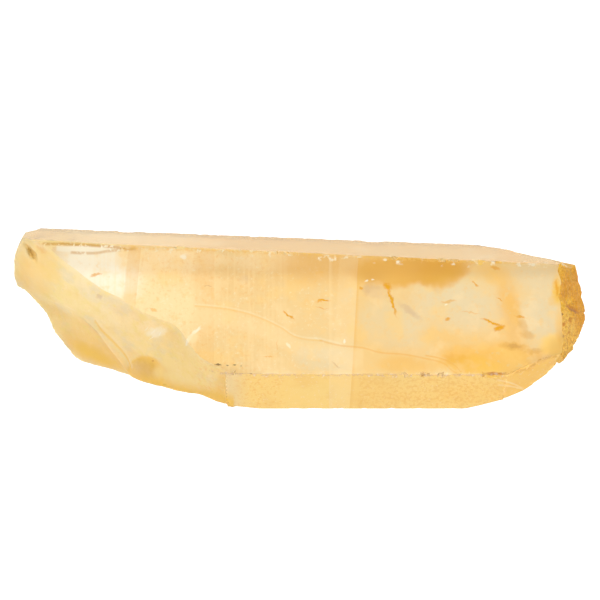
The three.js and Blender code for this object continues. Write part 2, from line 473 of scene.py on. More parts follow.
    def even_out(self, work: bmesh.types.BMesh, zones: list[Zone]) -> None:
        """Spreads the vertices evenly inside each growth face.

        Args:
            work: the crystal.
            zones: one zone a face.
        """
        growth = {face.zone for face in PRISM}
        inside = []
        for vertex in work.verts:
            around = zones_around(vertex, zones)
            if len(around) == 1 and around <= growth:
                inside.append(vertex)
        for _ in range(self.even_rounds):
            smooth(work, inside)

    def merge_slivers(self, work: bmesh.types.BMesh, zones: list[Zone]) -> list[Zone]:
        """Takes out the flattened slivers that the levelled steps leave.

        Args:
            work: the crystal.
            zones: one zone a face.

        Returns:
            One zone for each face that stays.
        """
        order = list(Zone)
        kept = work.faces.layers.int.new("zone")
        for face, zone in zip(work.faces, zones):
            face[kept] = order.index(zone)
        bmesh.ops.remove_doubles(work, verts=work.verts, dist=self.sliver_mm * MM)
        bmesh.ops.dissolve_degenerate(work, edges=work.edges, dist=self.sliver_mm * MM)
        bmesh.ops.triangulate(work, faces=[face for face in work.faces if len(face.verts) > 4])
        work.faces.ensure_lookup_table()
        work.faces.index_update()
        work.verts.index_update()
        found = [order[face[kept]] for face in work.faces]
        work.faces.layers.int.remove(kept)
        return found

    def wear_edges(self, work: bmesh.types.BMesh, zones: list[Zone]) -> None:
        """Nibbles the edges between growth faces unevenly, by noises of several finenesses.

        Args:
            work: the crystal.
            zones: one zone a face.
        """
        growth = {face.zone for face in PRISM}
        for vertex in work.verts:
            around = zones_around(vertex, zones)
            if len(around & growth) < 2:
                continue
            place = vertex.co / MM
            bite = sum(noise.noise(place * fineness) * share for fineness, share in self.edge_waves)
            vertex.co -= vertex.normal * max(0.0, bite) * self.edge_wear_mm * MM

    def hollows_of(self, work: bmesh.types.BMesh) -> np.ndarray:
        """Measures how far the surface dips below its surroundings.

        Args:
            work: the crystal, which is smoothed away in the measuring.

        Returns:
            One depth a vertex, in millimetres, negative on ridges.
        """
        work.normal_update()
        before = np.array([vertex.co for vertex in work.verts])
        outward = np.array([vertex.normal for vertex in work.verts])
        for _ in range(self.hollow_rounds):
            smooth(work, work.verts)
        after = np.array([vertex.co for vertex in work.verts])
        return ((after - before) * outward).sum(axis=1) / MM

    def mark_zones(self, mesh: bpy.types.Mesh, zones: list[Zone], hollows: np.ndarray) -> None:
        """Stores each face's roughness, zone masks and hollows for the finish.

        Args:
            mesh: the finished mesh.
            zones: one zone a face, in the mesh's order.
            hollows: how deep the surface dips at each vertex, in millimetres.
        """
        dips = mesh.attributes.new("hollow", "FLOAT", "POINT")
        dips.data.foreach_set("value", hollows.astype(np.float32))
        sides = np.empty(len(mesh.polygons), dtype=np.int32)
        mesh.polygons.foreach_get("loop_total", sides)
        masks = {"roughness": np.array([zone.value for zone in zones])}
        for part in Part:
            masks[part.value] = np.array([zone is PART_ZONES[part] for zone in zones])
        for name, values in masks.items():
            layer = mesh.attributes.new(name, "FLOAT", "CORNER")
            layer.data.foreach_set("value", np.repeat(values.astype(np.float32), sides))


class Wiring:
    """Adds nodes to one node tree and joins them up."""

    def __init__(self, tree: bpy.types.NodeTree) -> None:
        """Keeps the tree to work on.

        Args:
            tree: a material's tree or a node group.
        """
        self.tree = tree

    def feed(self, socket: bpy.types.NodeSocket, source: Any) -> None:
        """Joins a socket to another one, or sets it to a plain value.

        Args:
            socket: the input.
            source: an output socket or a value.
        """
        if isinstance(source, bpy.types.NodeSocket):
            self.tree.links.new(source, socket)
        else:
            socket.default_value = source

    def add(self, kind: str, inputs: dict[Any, Any], **settings: Any) -> bpy.types.Node:
        """Adds a node.

        Args:
            kind: the node's type name, without its ShaderNode prefix.
            inputs: what to feed to which input, by name or number.
            **settings: the node's own options.

        Returns:
            The node.
        """
        node = self.tree.nodes.new("ShaderNode" + kind)
        for name, value in settings.items():
            setattr(node, name, value)
        for key, source in inputs.items():
            self.feed(node.inputs[key], source)
        return node

    def math(self, operation: str, *values: Any, clamp: bool = False) -> bpy.types.NodeSocket:
        """Adds a sum of one to three values.

        Args:
            operation: the math node's operation.
            *values: sockets or numbers.
            clamp: keeps the answer in 0 to 1.

        Returns:
            The answer's socket.
        """
        node = self.add("Math", dict(enumerate(values)), operation=operation, use_clamp=clamp)
        return node.outputs[0]

    def mix(self, share: Any, below: Any, above: Any) -> bpy.types.NodeSocket:
        """Mixes a share of one colour into another.

        Args:
            share: how much of the upper colour shows.
            below: the lower colour.
            above: the upper colour.

        Returns:
            The mixed colour.
        """
        node = self.add("Mix", {0: share, MIX_BELOW: below, MIX_ABOVE: above}, data_type="RGBA")
        return node.outputs[MIX_RESULT]

    def ramp(self, value: Any, start: Any, end: Any, top: Any = 1.0) -> bpy.types.NodeSocket:
        """Rises softly from nothing at one value to the top at another.

        Args:
            value: the value to follow.
            start: where it is nothing.
            end: where it reaches the top, which may be the lower of the two.
            top: how high it gets.

        Returns:
            The height.
        """
        node = self.add(
            "MapRange",
            {"Value": value, "From Min": start, "From Max": end, "To Max": top},
            interpolation_type="SMOOTHSTEP",
        )
        return node.outputs["Result"]

    def fractal(
        self, place: Any, fineness: Any, detail: float = 3.0, harshness: float = 0.6
    ) -> bpy.types.Node:
        """Adds a fractal noise.

        Args:
            place: the place to read it at.
            fineness: how fine it is.
            detail: how many finer noises lie over the first one.
            harshness: how strong the finer noises are.

        Returns:
            The node.
        """
        return self.add(
            "TexNoise",
            {"Vector": place, "Scale": fineness, "Detail": detail, "Roughness": harshness},
        )

    def stretch(self, place: Any, scale: tuple[float, float, float]) -> bpy.types.NodeSocket:
        """Scales a place along its three axes.

        Args:
            place: the place.
            scale: how much to scale each axis.

        Returns:
            The scaled place.
        """
        mapping = self.add("Mapping", {"Vector": place, "Scale": scale}, vector_type="POINT")
        return mapping.outputs["Vector"]

    def call(self, group: bpy.types.NodeTree, **inputs: Any) -> bpy.types.NodeSocket:
        """Adds a shared node group.

        Args:
            group: the group.
            **inputs: what to feed to its inputs, with _ for the spaces in their names.

        Returns:
            The group's first output.
        """
        node = self.tree.nodes.new("ShaderNodeGroup")
        node.node_tree = group
        for name, source in inputs.items():
            self.feed(node.inputs[name.replace("_", " ")], source)
        return node.outputs[0]


class SharedGroup:
    """Makes the shader node groups that the finish uses again and again."""

    def start(self, name: str, inputs: dict[str, str], output: str) -> tuple[Wiring, Any, Any]:
        """Starts a group with its sockets.

        Args:
            name: the group's name.
            inputs: each input's name and socket type.
            output: the one output's socket type.

        Returns:
            The wiring, the group's input node and its output socket.
        """
        tree = bpy.data.node_groups.new(name, "ShaderNodeTree")
        for label, kind in inputs.items():
            tree.interface.new_socket(name=label, in_out="INPUT", socket_type="NodeSocket" + kind)
        tree.interface.new_socket(name="Result", in_out="OUTPUT", socket_type="NodeSocket" + output)
        source = tree.nodes.new("NodeGroupInput")
        result = tree.nodes.new("NodeGroupOutput")
        return Wiring(tree), source.outputs, result.inputs["Result"]

    def slanted(self) -> bpy.types.NodeTree:
        """Turns object coordinates into the slanted frame, in millimetres."""
        wiring, source, result = self.start("slanted frame", {"Place": "Vector"}, "Vector")
        turned = wiring.add("Mapping", {"Vector": source["Place"]}, vector_type="POINT")
        turned.inputs["Rotation"].default_value = (math.radians(SLANT_DEG), 0, 0)
        turned.inputs["Scale"].default_value = (1 / MM, 1 / MM, 1 / MM)
        wiring.feed(result, turned.outputs["Vector"])
        return wiring.tree

    def wander(self) -> bpy.types.NodeTree:
        """Moves places about with noise, so that what lies there has an uneven edge."""
        wiring, source, result = self.start(
            "wander", {"Place": "Vector", "Fineness": "Float", "Reach": "Float"}, "Vector"
        )
        wobble = wiring.fractal(source["Place"], source["Fineness"])
        centred = wiring.add(
            "VectorMath", {0: wobble.outputs["Color"], 1: (HALF_WAY,) * 3}, operation="SUBTRACT"
        )
        reach = wiring.add(
            "VectorMath", {0: centred.outputs[0], "Scale": source["Reach"]}, operation="SCALE"
        )
        moved = wiring.add("VectorMath", {0: source["Place"], 1: reach.outputs[0]}, operation="ADD")
        wiring.feed(result, moved.outputs[0])
        return wiring.tree

    def cloud(self) -> bpy.types.NodeTree:
        """Lays a turned oval of one tone, with a soft edge, over the colour below.

        A long row of clouds overflows the renderer's working memory if it starts on all of them at
        once, so each cloud's place depends, by next to nothing, on the colour below it.
        """
        wiring, source, result = self.start(
            "cloud",
            {
                "Below": "Color", "Tone": "Color", "Strength": "Float", "Limit": "Float",
                "Place": "Vector", "Middle": "Vector", "Across": "Vector", "Over": "Vector",
                "Core": "Float",
            },
            "Color",
        )
        waiting = wiring.add(
            "VectorMath",
            {0: source["Below"], 1: (CLOUD_NEXT_TO_NOTHING,) * 3, 2: source["Place"]},
            operation="MULTIPLY_ADD",
        )
        local = wiring.add(
            "VectorMath", {0: waiting.outputs[0], 1: source["Middle"]}, operation="SUBTRACT"
        ).outputs[0]
        across = wiring.add("VectorMath", {0: local, 1: source["Across"]}, operation="DOT_PRODUCT")
        over = wiring.add("VectorMath", {0: local, 1: source["Over"]}, operation="DOT_PRODUCT")
        across, over = across.outputs["Value"], over.outputs["Value"]
        away = wiring.math("MULTIPLY_ADD", over, over, wiring.math("MULTIPLY", across, across))
        mask = wiring.ramp(away, 1.0, source["Core"], source["Strength"])
        share = wiring.math("MULTIPLY", mask, source["Limit"])
        wiring.feed(result, wiring.mix(share, source["Below"], source["Tone"]))
        return wiring.tree

    def band(self) -> bpy.types.NodeTree:
        """Masks a stretch of a length, with its own softness at each end."""
        wiring, source, result = self.start(
            "band",
            {"Along": "Float", "Start": "Float", "End": "Float", "Soft Start": "Float",
             "Soft End": "Float"},
            "Float",
        )
        before = wiring.math("SUBTRACT", source["Start"], source["Soft Start"])
        after = wiring.math("ADD", source["End"], source["Soft End"])
        rise = wiring.ramp(source["Along"], before, source["Start"])
        fall = wiring.ramp(source["Along"], after, source["End"])
        both = wiring.math("MULTIPLY", rise, fall)
        wiring.feed(result, both)
        return wiring.tree


class Grain(Enum):
    """The noise fields that speckle the crystal, each with its fineness a millimetre."""

    VEIL = 0.27
    PATCH = 0.8
    GRAIN = 2.1
    DUST = 3.4


class Edge(Enum):
    """How unevenly a cloud's edge wanders: fineness a millimetre and reach in millimetres."""

    BROAD = (0.24, 2.6)
    FINE = (1.3, 0.9)
    CRISP = (2.4, 0.35)


@dataclass(frozen=True)
class Cloud:
    """A soft zone of colour, placed and sized in the slanted frame."""

    tone: Tone
    middle_mm: tuple[float, float]
    radii_mm: tuple[float, float]
    turn_deg: float = 0
    strength: float = 0.8
    core: float = 0.3
    edge: Edge = Edge.BROAD

    def axes(self) -> tuple[tuple[float, float, float], tuple[float, float, float]]:
        """Gives its two axes in the slanted frame, each divided by its radius."""
        turn = math.radians(self.turn_deg)
        width, height = self.radii_mm
        across = (math.cos(turn) / width, 0.0, math.sin(turn) / width)
        over = (-math.sin(turn) / height, 0.0, math.cos(turn) / height)
        return across, over


def mark(
    tone: Tone,
    middle_mm: tuple[float, float],
    radii_mm: tuple[float, float],
    turn_deg: float = 0,
    strength: float = 0.9,
    edge: Edge = Edge.FINE,
) -> Cloud:
    """Makes a small cloud with an uneven edge.

    Args:
        tone: its colour.
        middle_mm: its place along and up.
        radii_mm: its reach along and up.
        turn_deg: how far it is turned, anticlockwise as seen from the front.
        strength: how much of it shows.
        edge: how its edge wanders.

    Returns:
        The cloud.
    """
    return Cloud(tone, middle_mm, radii_mm, turn_deg, strength, edge=edge)


@dataclass(frozen=True)
class Speckle:
    """Veils, patches or grains of one tone on one kind of surface.

    They lie where the noise field rises from the first level to the second, which may be the lower.
    """

    tone: Tone
    grain: Grain
    levels: tuple[float, float]
    strength: float
    part: Part
    span_mm: tuple[float, float] | None = None
    fade_mm: float = 3


@dataclass(frozen=True)
class Wash:
    """A thin even tone over a whole part of the surface."""

    tone: Tone
    part: Part
    strength: float


@dataclass(frozen=True)
class HollowShading:
    """Painted shade in the frosted end's hollows, or a painted highlight on its ridges if the
    steepness is negative.
    """

    tone: Tone
    steepness: float
    strength: float


@dataclass(frozen=True)
class Band:
    """A growth band square to the crystal's length, on the main face."""

    tone: Tone
    start_mm: float
    end_mm: float
    soft_mm: tuple[float, float]
    strength: float
    lean: float = 0.0
    pivot_mm: float = 17

    def at_foot_mm(self, place_mm: float) -> float:
        """Gives where one of its sides would stand at the foot of the crystal.

        Args:
            place_mm: where that side stands at the pivot's height.

        Returns:
            The place along the crystal.
        """
        return place_mm - self.lean * self.pivot_mm


@dataclass(frozen=True)
class Seam:
    """A line on the surface: a crack, an edge of a step or a row of chips, or a painted highlight or
    shade along one.
    """

    tone: Tone
    points_mm: tuple[tuple[float, float], ...]
    half_width_mm: float
    strength: float
    soft_mm: float = 0.15
    grain: Grain | None = None
    level: float = 0.5
    drop_mm: float = 0


TIP_UNDER = Wash(Tone.FROST, Part.TIP, 0.9)
TIP_OVER = Wash(Tone.FROST, Part.TIP, 0.75)
FACE_WASHES = (
    # the top face's pinkish tone, partly a painted grazing reflection
    Wash(Tone.BLUSH, Part.TOP, 0.85),
    Wash(Tone.PEACH, Part.LOWER, 0.85),
    Wash(Tone.SAFFRON, Part.CORNER, 0.75),
)
BASE_WASH = Wash(Tone.SAFFRON, Part.BASE, 1)
CLEAR_CLOUDS = (
    Cloud(Tone.CREAM, (-21.5, 13), (12, 9), core=0.2),
    Cloud(Tone.WINDOW, (-28.5, 17.4), (7.5, 4.6), -20, 0.95, 0.5),
    # two pale strips: the painted paler left end of a band of internal reflection under the top edge
    Cloud(Tone.CREAM, (-18, 18.9), (10, 2), 0, 0.9, 0.5, Edge.FINE),
    Cloud(Tone.CREAM, (-5, 18.8), (6, 1.9), 0, 0.6, 0.4, Edge.FINE),
    Cloud(Tone.HONEY, (3.5, 11), (9, 6), strength=0.6, core=0.1),
    Cloud(Tone.AMBER, (-11, 16), (13, 2.6), 0, 0.2, 0, Edge.FINE),
    Cloud(Tone.AMBER, (29.6, 11), (2.4, 6), 14, 0.45, 0.1),
    Cloud(Tone.GOLD, (26.5, 4.8), (11, 3), 2, 0.95, 0.3),
    Cloud(Tone.AMBER, (22.2, 4.3), (3, 1.3), -15, 0.85, 0.2),
    Cloud(Tone.AMBER, (14.5, 4.1), (4.6, 1.4), -4, 0.5, 0.2),
)
RIM_CLOUDS = (
    Cloud(Tone.STRAW, (-37, 17), (4, 4), -35, 0.7, 0.1),
    Cloud(Tone.GOLD, (-29, 5.4), (7, 2.8), -30, 0.75, 0.1),
    Cloud(Tone.SAFFRON, (-29.4, 5.2), (5, 1.7), -32, 0.8, 0.1),
    Cloud(Tone.SAFFRON, (-21.9, 2.8), (3, 3), -20, 0.85, 0.8, Edge.CRISP),
    Cloud(Tone.OCHRE, (-22, 3.4), (2.6, 1.9), -15, 0.5, 0.3, Edge.FINE),
    Cloud(Tone.FROST, (-18.9, 3.4), (2.2, 1.9), -20, 0.8, 0.1),
    Cloud(Tone.GOLD, (-10.8, 1.4), (1.6, 3), 0, 0.5, 0.1),
)
PALE_TOP = Cloud(Tone.CREAM, (-28, 22), (20, 3), 0, 0.6, 0.1)
AMBER_CLOUDS_AND_REFLECTION = (
    # these three: a painted band of internal reflection under the top edge, darker amber towards the
    # right
    Cloud(Tone.AMBER, (3.4, 18.6), (9.5, 4.2), 2, 0.62, 0.05),
    Cloud(Tone.DEEP_AMBER, (15.2, 17.6), (9.5, 2.8), 2, 0.95, 0.6),
    Cloud(Tone.DEEP_AMBER, (20.2, 17.4), (4.5, 2.6), 20, 0.8, 0.5),
    Cloud(Tone.SAFFRON, (24.5, 4.2), (5, 1.6), 0, 0.5, 0.1),
    Cloud(Tone.GOLD, (14.5, 4.2), (5, 1.7), -4, 0.45, 0.2),
    Cloud(Tone.PEACH, (35.2, 7), (2.2, 2.2), 20, 0.85, 0.4),
    Cloud(Tone.GOLD, (26.8, 17), (3.4, 1.9), -20, 0.6, 0.1),
    Cloud(Tone.OCHRE, (31, 9.9), (0.8, 1.3), 30, 0.4, 0.0, Edge.FINE),
    Cloud(Tone.OCHRE, (31.6, 8.5), (1.3, 0.8), -15, 0.5, 0.0, Edge.FINE),
    Cloud(Tone.OCHRE, (29.6, 6.9), (2.6, 0.7), -5, 0.5, 0.0, Edge.FINE),
    Cloud(Tone.UMBER, (29.8, 6.9), (1.3, 0.35), -5, 0.35, 0.0, Edge.FINE),
    Cloud(Tone.OCHRE, (32.4, 6.2), (1.6, 0.5), 5, 0.45, 0.0, Edge.FINE),
)
MILKY_CLOUDS = (
    Cloud(Tone.MILK, (12.6, 9.8), (6.2, 4), -8, 1, 0.45),
    Cloud(Tone.MILK, (22, 12.6), (8, 4.4), -10, 0.9, 0.35),
    Cloud(Tone.MILK, (33.8, 10.6), (3.8, 5), 0, 0.95, 0.4),
    Cloud(Tone.MILK, (33.4, 16.6), (4.6, 2.8), 0, 0.8, 0.3),
    Cloud(Tone.MILK, (3.2, 5.2), (5.4, 2.4), -8, 0.9, 0.4),
    Cloud(Tone.GOLD, (19, 8.2), (4, 1.4), -10, 0.4, 0.1),
    Cloud(Tone.GOLD, (29.4, 12.3), (1.4, 3.6), 24, 0.6, 0.0, Edge.FINE),
    Cloud(Tone.ASH, (10.3, 14.6), (2.4, 1.4), -20, 0.8, 0.0, Edge.FINE),
    Cloud(Tone.ASH, (15.2, 11.8), (2.4, 0.6), -38, 0.6, 0.1, Edge.FINE),
    Cloud(Tone.ASH, (-7.8, 16.2), (1.1, 0.8), 0, 0.3, 0.0, Edge.FINE),
)
POINT_CLOUDS = (
    Cloud(Tone.LEMON, (-36, 16), (4, 4), -35, 0.3, 0.1),
    Cloud(Tone.MILK, (-27, 13.2), (6, 1.5), -30, 0.55, 0.2),
    Cloud(Tone.STRAW, (-30, 8), (8, 3.4), -50, 0.7, 0.1),
    Cloud(Tone.CREAM, (-25.5, 10.9), (4.4, 2.4), -40, 0.4, 0.1),
    Cloud(Tone.CREAM, (-21.4, 9.9), (1.7, 1), 20, 0.5, 0.5, Edge.CRISP),
    Cloud(Tone.LEMON, (-27.4, 14.3), (1, 0.7), 0, 0.7, 0.1, Edge.FINE),
    Cloud(Tone.GOLD, (-38.6, 17.6), (1.3, 2.6), 10, 0.5, 0.1),
    Cloud(Tone.LEMON, (-34.4, 18.2), (2, 0.6), -15, 0.5, 0.1, Edge.FINE),
    Cloud(Tone.AMBER, (-36.4, 20.6), (1.4, 0.6), -50, 0.7, 0.1, Edge.FINE),
)
MARKS_AND_GLINTS = (
    mark(Tone.SAFFRON, (35.9, 14.5), (1, 2.6), 3, 0.85),
    mark(Tone.RUST, (35.8, 14.9), (0.35, 1.6), 4, 0.85),
    mark(Tone.GOLD, (35.1, 13.2), (0.8, 0.9), 0, 0.5),
    mark(Tone.GOLD, (36.2, 9.6), (0.9, 3.4), 0, 0.6),
    mark(Tone.RUST, (-1.7, 11.2), (1.3, 0.2), -38, 1),
    mark(Tone.RUST, (3.1, 13.2), (1.3, 0.2), 3, 1),
    mark(Tone.RUST, (3, 12.2), (1.2, 0.12), -8, 0.7),
    mark(Tone.RUST, (12.7, 13.3), (2.9, 0.28), -74, 1),
    mark(Tone.RUST, (12.1, 15.3), (0.9, 0.55), -30, 1),
    mark(Tone.RUST, (8.5, 15), (0.4, 0.26), 0),
    mark(Tone.AMBER, (20.6, 13.1), (1.3, 0.25), 10, 0.7),
    mark(Tone.RUST, (20.5, 10.7), (0.6, 0.2), 20),
    mark(Tone.RUST, (26.6, 10.2), (2, 0.2), -22, 1),
    mark(Tone.RUST, (27.7, 9.4), (1, 0.42), 20, 1),
    mark(Tone.RUST, (27.2, 17.8), (1, 0.3), -15, 0.7),
    mark(Tone.RUST, (24.4, 15.6), (0.7, 0.16), -52),
    mark(Tone.RUST, (27.8, 13.4), (0.7, 0.14), -35),
    mark(Tone.RUST, (30.7, 11), (0.9, 0.16), -10),
    mark(Tone.AMBER, (23.7, 11.6), (1.6, 0.14), -8, 0.6),
    mark(Tone.UMBER, (-12.9, 15.4), (0.6, 0.1), -5, 0.5),
    mark(Tone.AMBER, (-3.3, 7.1), (0.9, 0.12), 84, 0.7),
    mark(Tone.AMBER, (-4.5, 5.5), (0.9, 0.14), 8, 0.7),
    mark(Tone.UMBER, (4.9, 4.3), (0.9, 0.1), -40, 0.4),
    mark(Tone.RUST, (-28.7, 16.9), (1.1, 0.24), 14, 0.8),
    mark(Tone.AMBER, (-20.6, 12), (0.8, 0.3), -30, 0.7),
    mark(Tone.BRICK, (27.2, 3.1), (1.7, 0.3), 0),
    mark(Tone.RUST, (30.2, 3.5), (0.8, 0.2), 20, 0.7),
    mark(Tone.SOOT, (-11.6, 4.35), (0.75, 0.11), -4, 0.9),
    mark(Tone.SOOT, (-10.2, 4.25), (0.28, 0.09), 0, 0.8, Edge.CRISP),
    mark(Tone.SOOT, (-9.2, 4.3), (0.3, 0.1), 0, 0.8, Edge.CRISP),
    mark(Tone.SOOT, (-8.3, 4.2), (0.16, 0.1), 0, 0.7, Edge.CRISP),
    mark(Tone.SOOT, (-6.9, 3.1), (0.2, 0.1), 0, 0.8, Edge.CRISP),
    mark(Tone.SOOT, (-19.2, 1.4), (0.4, 0.16), 0, 0.8, Edge.CRISP),
    mark(Tone.BRICK, (-10.4, -0.5), (0.4, 0.25), -30, 0.8),
    mark(Tone.BRICK, (-20.8, 4.8), (0.2, 0.14), 0, 0.8, Edge.CRISP),
    # painted glints on two flakes, over a pale patch
    mark(Tone.WINDOW, (-14.7, 8.9), (1.4, 0.34), 42, 1),
    mark(Tone.WINDOW, (-15.7, 7.6), (1, 0.3), 62, 1),
    mark(Tone.CREAM, (-15, 8), (1.2, 0.8), 42, 0.7),
    # painted glints: a white spot and a bubble
    mark(Tone.WINDOW, (-1.7, 7), (0.65, 0.26), -50, 1, Edge.CRISP),
    mark(Tone.WINDOW, (6.1, 7.6), (0.4, 0.24), 80, 0.9, Edge.CRISP),
    mark(Tone.WINDOW, (-16.4, 19.4), (0.6, 0.4), 0, 0.9),
    mark(Tone.WINDOW, (11.8, 19), (0.35, 0.25), 0, 1, Edge.CRISP),
    mark(Tone.WINDOW, (13.6, 18.7), (0.35, 0.25), 0, 1, Edge.CRISP),
    mark(Tone.WINDOW, (9.2, 16), (0.35, 0.14), 30, 0.9, Edge.CRISP),
    mark(Tone.WINDOW, (10.1, 16.2), (0.3, 0.14), -10, 0.9, Edge.CRISP),
    mark(Tone.WINDOW, (20.3, 12.7), (0.3, 0.14), 20, 0.8, Edge.CRISP),
    mark(Tone.WINDOW, (-21.6, 9.3), (0.5, 0.08), 50, 0.9, Edge.CRISP),
    mark(Tone.WINDOW, (-20.6, 8.9), (0.6, 0.09), 45, 0.9, Edge.CRISP),
    mark(Tone.WINDOW, (-19.7, 8.6), (0.5, 0.08), 55, 0.9, Edge.CRISP),
    mark(Tone.WINDOW, (-20.9, 8), (0.6, 0.08), 35, 0.8, Edge.CRISP),
    mark(Tone.WINDOW, (-20.2, 8.9), (2, 0.9), 10, 0.6),
    mark(Tone.ASH, (-28.2, 13.8), (0.6, 0.4), 0, 0.5),
)
BASE_CLOUDS = (
    Cloud(Tone.RUST, (40, 13.5), (2.2, 7), 0, 0.75, 0.4),
    Cloud(Tone.PEACH, (37.2, 8), (3, 4.4), 0, 0.45, 0.4),
    Cloud(Tone.RUST, (37.6, 15.6), (2.2, 3.2), -20, 0.5, 0.3, Edge.FINE),
)
BASE_MARKS = (
    Cloud(Tone.BRICK, (37.4, 14.8), (1.3, 2.2), -15, 0.35, 0.0, Edge.FINE),
    Cloud(Tone.BRICK, (38.2, 12.1), (1.6, 0.5), -28, 0.85, 0.2, Edge.FINE),
    Cloud(Tone.UMBER, (38.3, 11.9), (1.4, 0.22), -30, 0.8, 0.2, Edge.FINE),
    Cloud(Tone.SOOT, (36.5, 11.3), (0.3, 0.22), 30, 0.8, 0.3, Edge.CRISP),
    Cloud(Tone.BRICK, (37.9, 10.5), (0.4, 0.5), 10, 0.85, 0.2, Edge.FINE),
    Cloud(Tone.BRICK, (36.8, 9.9), (0.25, 0.35), 0, 0.9, 0.3, Edge.CRISP),
    Cloud(Tone.BRICK, (37.7, 8.8), (0.25, 0.25), 0, 0.8, 0.3, Edge.CRISP),
    Cloud(Tone.UMBER, (36.7, 8.3), (0.22, 0.3), 0, 0.7, 0.3, Edge.CRISP),
)

SPECKLES = (
    Speckle(Tone.STRAW, Grain.VEIL, (0.5, 0.7), 0.5, Part.MAIN),
    Speckle(Tone.CREAM, Grain.VEIL, (0.48, 0.3), 0.45, Part.MAIN),
    Speckle(Tone.GOLD, Grain.PATCH, (0.55, 0.75), 0.4, Part.MAIN),
    Speckle(Tone.MILK, Grain.PATCH, (0.42, 0.3), 0.4, Part.MAIN, (4, 60)),
    Speckle(Tone.AMBER, Grain.GRAIN, (0.53, 0.68), 0.35, Part.MAIN, (-21, -7), 6),
    Speckle(Tone.WINDOW, Grain.GRAIN, (0.42, 0.3), 0.35, Part.MAIN, (-26, 4), 6),
    Speckle(Tone.GOLD, Grain.GRAIN, (0.55, 0.7), 0.25, Part.MAIN, (0, 60), 4),
    Speckle(Tone.CREAM, Grain.VEIL, (0.5, 0.3), 0.5, Part.TOP),
    Speckle(Tone.HONEY, Grain.PATCH, (0.5, 0.75), 0.5, Part.TOP),
    Speckle(Tone.GOLD, Grain.VEIL, (0.5, 0.7), 0.5, Part.LOWER),
    Speckle(Tone.ORANGE, Grain.GRAIN, (0.5, 0.65), 0.45, Part.LOWER, (-11, -4), 3),
    Speckle(Tone.AMBER, Grain.GRAIN, (0.45, 0.62), 0.55, Part.LOWER, (8.2, 40), 0.3),
    Speckle(Tone.CREAM, Grain.DUST, (0.42, 0.3), 0.5, Part.LOWER),
    Speckle(Tone.MILK, Grain.VEIL, (0.0, 0.1), 0.6, Part.LOWER, (-14, -10.5), 4),
    Speckle(Tone.ORANGE, Grain.GRAIN, (0.5, 0.65), 0.4, Part.TIP, (-13, -8), 3),
    Speckle(Tone.MILK, Grain.VEIL, (0.5, 0.34), 0.55, Part.TIP),
    Speckle(Tone.LEMON, Grain.PATCH, (0.5, 0.66), 0.55, Part.TIP),
    Speckle(Tone.CREAM, Grain.PATCH, (0.44, 0.3), 0.5, Part.TIP),
    Speckle(Tone.CREAM, Grain.GRAIN, (0.48, 0.3), 0.3, Part.TIP),
    Speckle(Tone.AMBER, Grain.DUST, (0.58, 0.7), 0.3, Part.TIP),
    Speckle(Tone.AMBER, Grain.PATCH, (0.5, 0.65), 0.5, Part.CORNER),
    Speckle(Tone.CREAM, Grain.GRAIN, (0.44, 0.3), 0.4, Part.CORNER),
)
BASE_SPECKLES = (
    Speckle(Tone.BRICK, Grain.GRAIN, (0.5, 0.6), 0.35, Part.BASE),
    Speckle(Tone.BRICK, Grain.DUST, (0.52, 0.62), 0.5, Part.BASE),
    Speckle(Tone.STRAW, Grain.DUST, (0.42, 0.32), 0.35, Part.BASE),
)
STRIAE = Speckle(Tone.CREAM, Grain.PATCH, (0.45, 0.65), 0.3, Part.MAIN, (-26, -5), 5)

BANDS = (
    Band(Tone.WINDOW, -26.6, -26.2, (0.1, 0.3), 0.4, 0.05),
    Band(Tone.AMBER, -24.3, -22.7, (0.3, 0.05), 0.32, 0.09),
    Band(Tone.AMBER, -14.3, -12.1, (0.9, 0.06), 0.24),
    Band(Tone.CREAM, 4, 4.1, (0.1, 0.5), 0.3),
    Band(Tone.CREAM, 5.5, 7.9, (0.4, 0.05), 0.22, 0.06),
    Band(Tone.AMBER, 8.0, 8.05, (0.05, 0.5), 0.4, 0.06),
    Band(Tone.GOLD, 8.0, 12, (0.05, 6), 0.3, 0.06),
)

FRACTURE_MM = (
    (-14.6, 12.5), (-11.2, 12.2), (-8.4, 11.7), (-5.6, 10.8), (-2.8, 9.5), (0, 8), (2.8, 7.7),
    (5.6, 7), (8.5, 6.7), (11.3, 6), (14.1, 5.8), (16.9, 5.3), (19.7, 4.6), (21.1, 3.5),
    (21.8, 3.1),
)
TOP_EDGE_MM = (
    (-33.7, 21.4), (-23.9, 20.7), (-14, 20.4), (0, 19.75), (16.9, 19), (25.3, 18.7), (35.9, 18.7),
)
LOWER_EDGE_MM = ((-12.5, 3.5), (-5, 2.95), (5, 2.9), (21, 2.9), (28.6, 3.1))
RIM_MM = (
    (-33.4, 9.4), (-31.6, 6.3), (-29.6, 4.6), (-26.8, 3.3), (-24, 2), (-21.2, 1), (-19.1, 0.5),
    (-16.3, -0.2), (-12.5, -0.6), (-9.5, -1.6),
)
FOLD_MM = ((-28.9, 10.3), (-28.1, 9.1), (-26.4, 7.4), (-24.4, 4.9), (-23.9, 3.4))
UPPER_RUST_MM = ((-36, 21.2), (-31, 21.1), (-28, 20.9), (-24.8, 20.6))
LOWER_RUST_MM = ((-32, 20), (-29.3, 19.9), (-27, 20.2), (-23.3, 20.5))
CORNER_EDGE_MM = ((28.5, 3.1), (31, 3.6), (32.4, 4.3), (33.4, 5), (35.5, 5.5))
